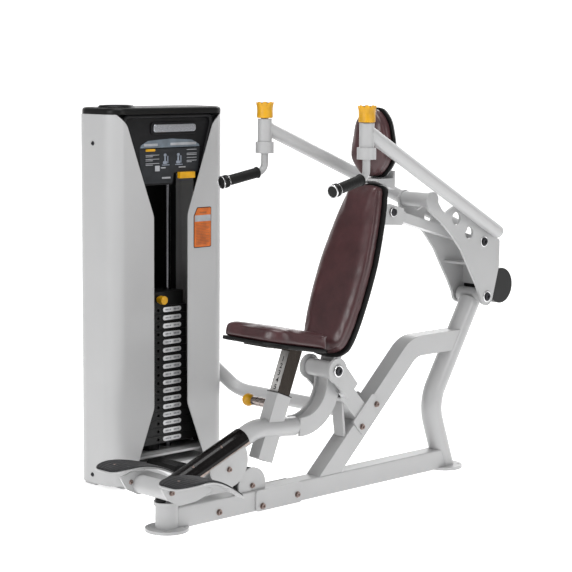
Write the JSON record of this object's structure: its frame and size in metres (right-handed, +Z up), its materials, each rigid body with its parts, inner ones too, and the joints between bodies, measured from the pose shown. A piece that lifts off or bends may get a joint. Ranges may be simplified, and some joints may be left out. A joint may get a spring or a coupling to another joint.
{
  "type": "shoulder press machine",
  "caption": "Seated shoulder press with a shrouded weight stack, a rocking seat carriage, swinging press arms with swivel handles, an adjustable seat and foot rests.",
  "frame": {"origin": "on the floor, at the centre of the front post's foot plate", "axes": "+Z up, +Y from the foot rests towards the rear upright, so the user faces -Y, and +X to the user's left"},
  "size_m": [0.9939, 1.773, 1.341],
  "materials": {
    "white_paint": "fine satin powder coat",
    "black_rubber": "matte",
    "mat_rubber": "ribbed matte",
    "bolt_steel": "satin",
    "black_bolt": "dark satin",
    "brushed_post": "brushed",
    "chrome": "polished",
    "black_steel": "fine textured",
    "black_plastic": "fine grained",
    "header_plastic": "satin",
    "edge_plastic": "satin",
    "gloss_cover": "polished",
    "pulley_plastic": "satin",
    "yellow_plastic": "moulded",
    "burgundy_leather": "fine grained upholstery"
  },
  "bodies": {
    "frame": {"front_post": "white_paint", "stop_bumper": "black_rubber", "front_beam": "white_paint", "main_beam": "white_paint", "beam_splice_plates": "white_paint", "rear_upright": "white_paint", "pivot_bushings": "bolt_steel", "diagonal_strut": "white_paint", "pivot_yoke": "white_paint", "carriage_pivot_shaft": "black_bolt", "brace_tube": "white_paint", "beam_pulley_bracket": "white_paint", "tower_frame": "white_paint", "belt_cover": "black_plastic", "guide_rods": "chrome", "weight_plates": "black_steel", "stack_cushion": "black_rubber", "shroud_front": "white_paint", "shroud_rear": "white_paint", "tower_liner": "black_plastic", "header_panel": "header_plastic", "tower_top_cap": "black_plastic", "frame_bolts": "bolt_steel"},
    "carriage": {"foot_carrier": "white_paint", "carriage_tube": "white_paint", "carriage_box": "white_paint", "tube_cover": "gloss_cover", "seat_sleeve": "white_paint", "carriage_pulley_plates": "white_paint", "foot_plates": "white_paint", "foot_mats": "mat_rubber", "back_frame": "white_paint", "neck_bracket": "white_paint", "back_board": "edge_plastic", "back_pad": "burgundy_leather", "head_shell": "edge_plastic", "head_pad": "burgundy_leather", "carriage_bolts": "black_bolt"},
    "arms": {"arm_left": "white_paint", "arm_right": "white_paint", "arm_bracket": "white_paint", "counterweight": "black_steel", "arm_shafts": "black_bolt"},
    "link": {"press_link": "white_paint"},
    "left_handle": {"handle_left": "white_paint", "hand_grip_left": "black_rubber"},
    "right_handle": {"handle_right": "white_paint", "hand_grip_right": "black_rubber"},
    "left_knob": {"knob_left": "yellow_plastic"},
    "right_knob": {"knob_right": "yellow_plastic"},
    "seat": {"seat_post": "brushed_post", "seat_board": "edge_plastic", "seat_pad": "burgundy_leather"},
    "seat_pin": {"pull_pin": "yellow_plastic"},
    "stack_head": {"head_plate": "black_steel"},
    "stack_pin": {"selector_pin": "yellow_plastic"},
    "slider": {"increment_slider": "yellow_plastic"},
    "lower_pulley": {"beam_pulley": "pulley_plastic"},
    "moving_pulley": {"carriage_pulley": "pulley_plastic"},
    "upper_pulley": {"top_pulley": "pulley_plastic"}
  },
  "joints": [
    {"name": "carriage_rock", "type": "hinge", "parent": "frame", "child": "carriage", "pos_m": [0, 0.7, 0.44], "axis": [1, 0, 0], "range_deg": [-15.3, 0]},
    {"name": "arms_swing", "type": "hinge", "parent": "frame", "child": "arms", "pos_m": [0, 1.481, 0.627], "axis": [1, 0, 0], "range_deg": [-42, 0]},
    {"name": "link_swing", "type": "hinge", "parent": "carriage", "child": "link", "pos_m": [0, 0.985, 0.9625], "axis": [1, 0, 0], "range_deg": [0, 23]},
    {"name": "left_handle_swivel", "type": "hinge", "parent": "arms", "child": "left_handle", "pos_m": [0.24, 0.647, 1.106], "axis": [0, 0, 1], "range_deg": [-30, 90]},
    {"name": "right_handle_swivel", "type": "hinge", "parent": "arms", "child": "right_handle", "pos_m": [-0.24, 0.647, 1.106], "axis": [0, 0, 1], "range_deg": [-90, 30]},
    {"name": "left_knob_pull", "type": "slide", "parent": "arms", "child": "left_knob", "axis": [0, 0, 1], "range_m": [0, 0.012], "stiffness_N_per_m": 600},
    {"name": "right_knob_pull", "type": "slide", "parent": "arms", "child": "right_knob", "axis": [0, 0, 1], "range_m": [0, 0.012], "stiffness_N_per_m": 600},
    {"name": "seat_height", "type": "slide", "parent": "carriage", "child": "seat", "axis": [0, 0.3746, 0.9272], "range_m": [-0.1, 0]},
    {"name": "seat_pin_pull", "type": "slide", "parent": "carriage", "child": "seat_pin", "axis": [-1, 0, 0], "range_m": [0, 0.012], "stiffness_N_per_m": 1200},
    {"name": "stack_lift", "type": "slide", "parent": "frame", "child": "stack_head", "axis": [0, 0, 1], "range_m": [0, 0.27]},
    {"name": "stack_pin_pull", "type": "slide", "parent": "stack_head", "child": "stack_pin", "axis": [1, 0, 0], "range_m": [0, 0.08]},
    {"name": "slider_shift", "type": "slide", "parent": "frame", "child": "slider", "axis": [0, 1, 0], "range_m": [0, 0.03]},
    {"name": "lower_pulley_turn", "type": "hinge", "parent": "frame", "child": "lower_pulley", "pos_m": [0, 0.35, 0.092], "axis": [1, 0, 0], "range_deg": [0, 310]},
    {"name": "moving_pulley_turn", "type": "hinge", "parent": "carriage", "child": "moving_pulley", "pos_m": [0, 0.235, 0.142], "axis": [1, 0, 0], "range_deg": [-205, 0]},
    {"name": "upper_pulley_turn", "type": "hinge", "parent": "frame", "child": "upper_pulley", "pos_m": [-0.586, 0.45, 1.204], "axis": [0, 1, 0], "range_deg": [0, 345]}
  ],
  "couplings": [
    {"joint": "arms_swing", "follows": "carriage_rock", "ratio": 2.74},
    {"joint": "link_swing", "follows": "carriage_rock", "ratio": -1.5},
    {"joint": "stack_lift", "follows": "carriage_rock", "m_per_rad": -1},
    {"joint": "lower_pulley_turn", "follows": "carriage_rock", "ratio": -20},
    {"joint": "moving_pulley_turn", "follows": "carriage_rock", "ratio": 13.2},
    {"joint": "upper_pulley_turn", "follows": "carriage_rock", "ratio": -22.2}
  ]
}
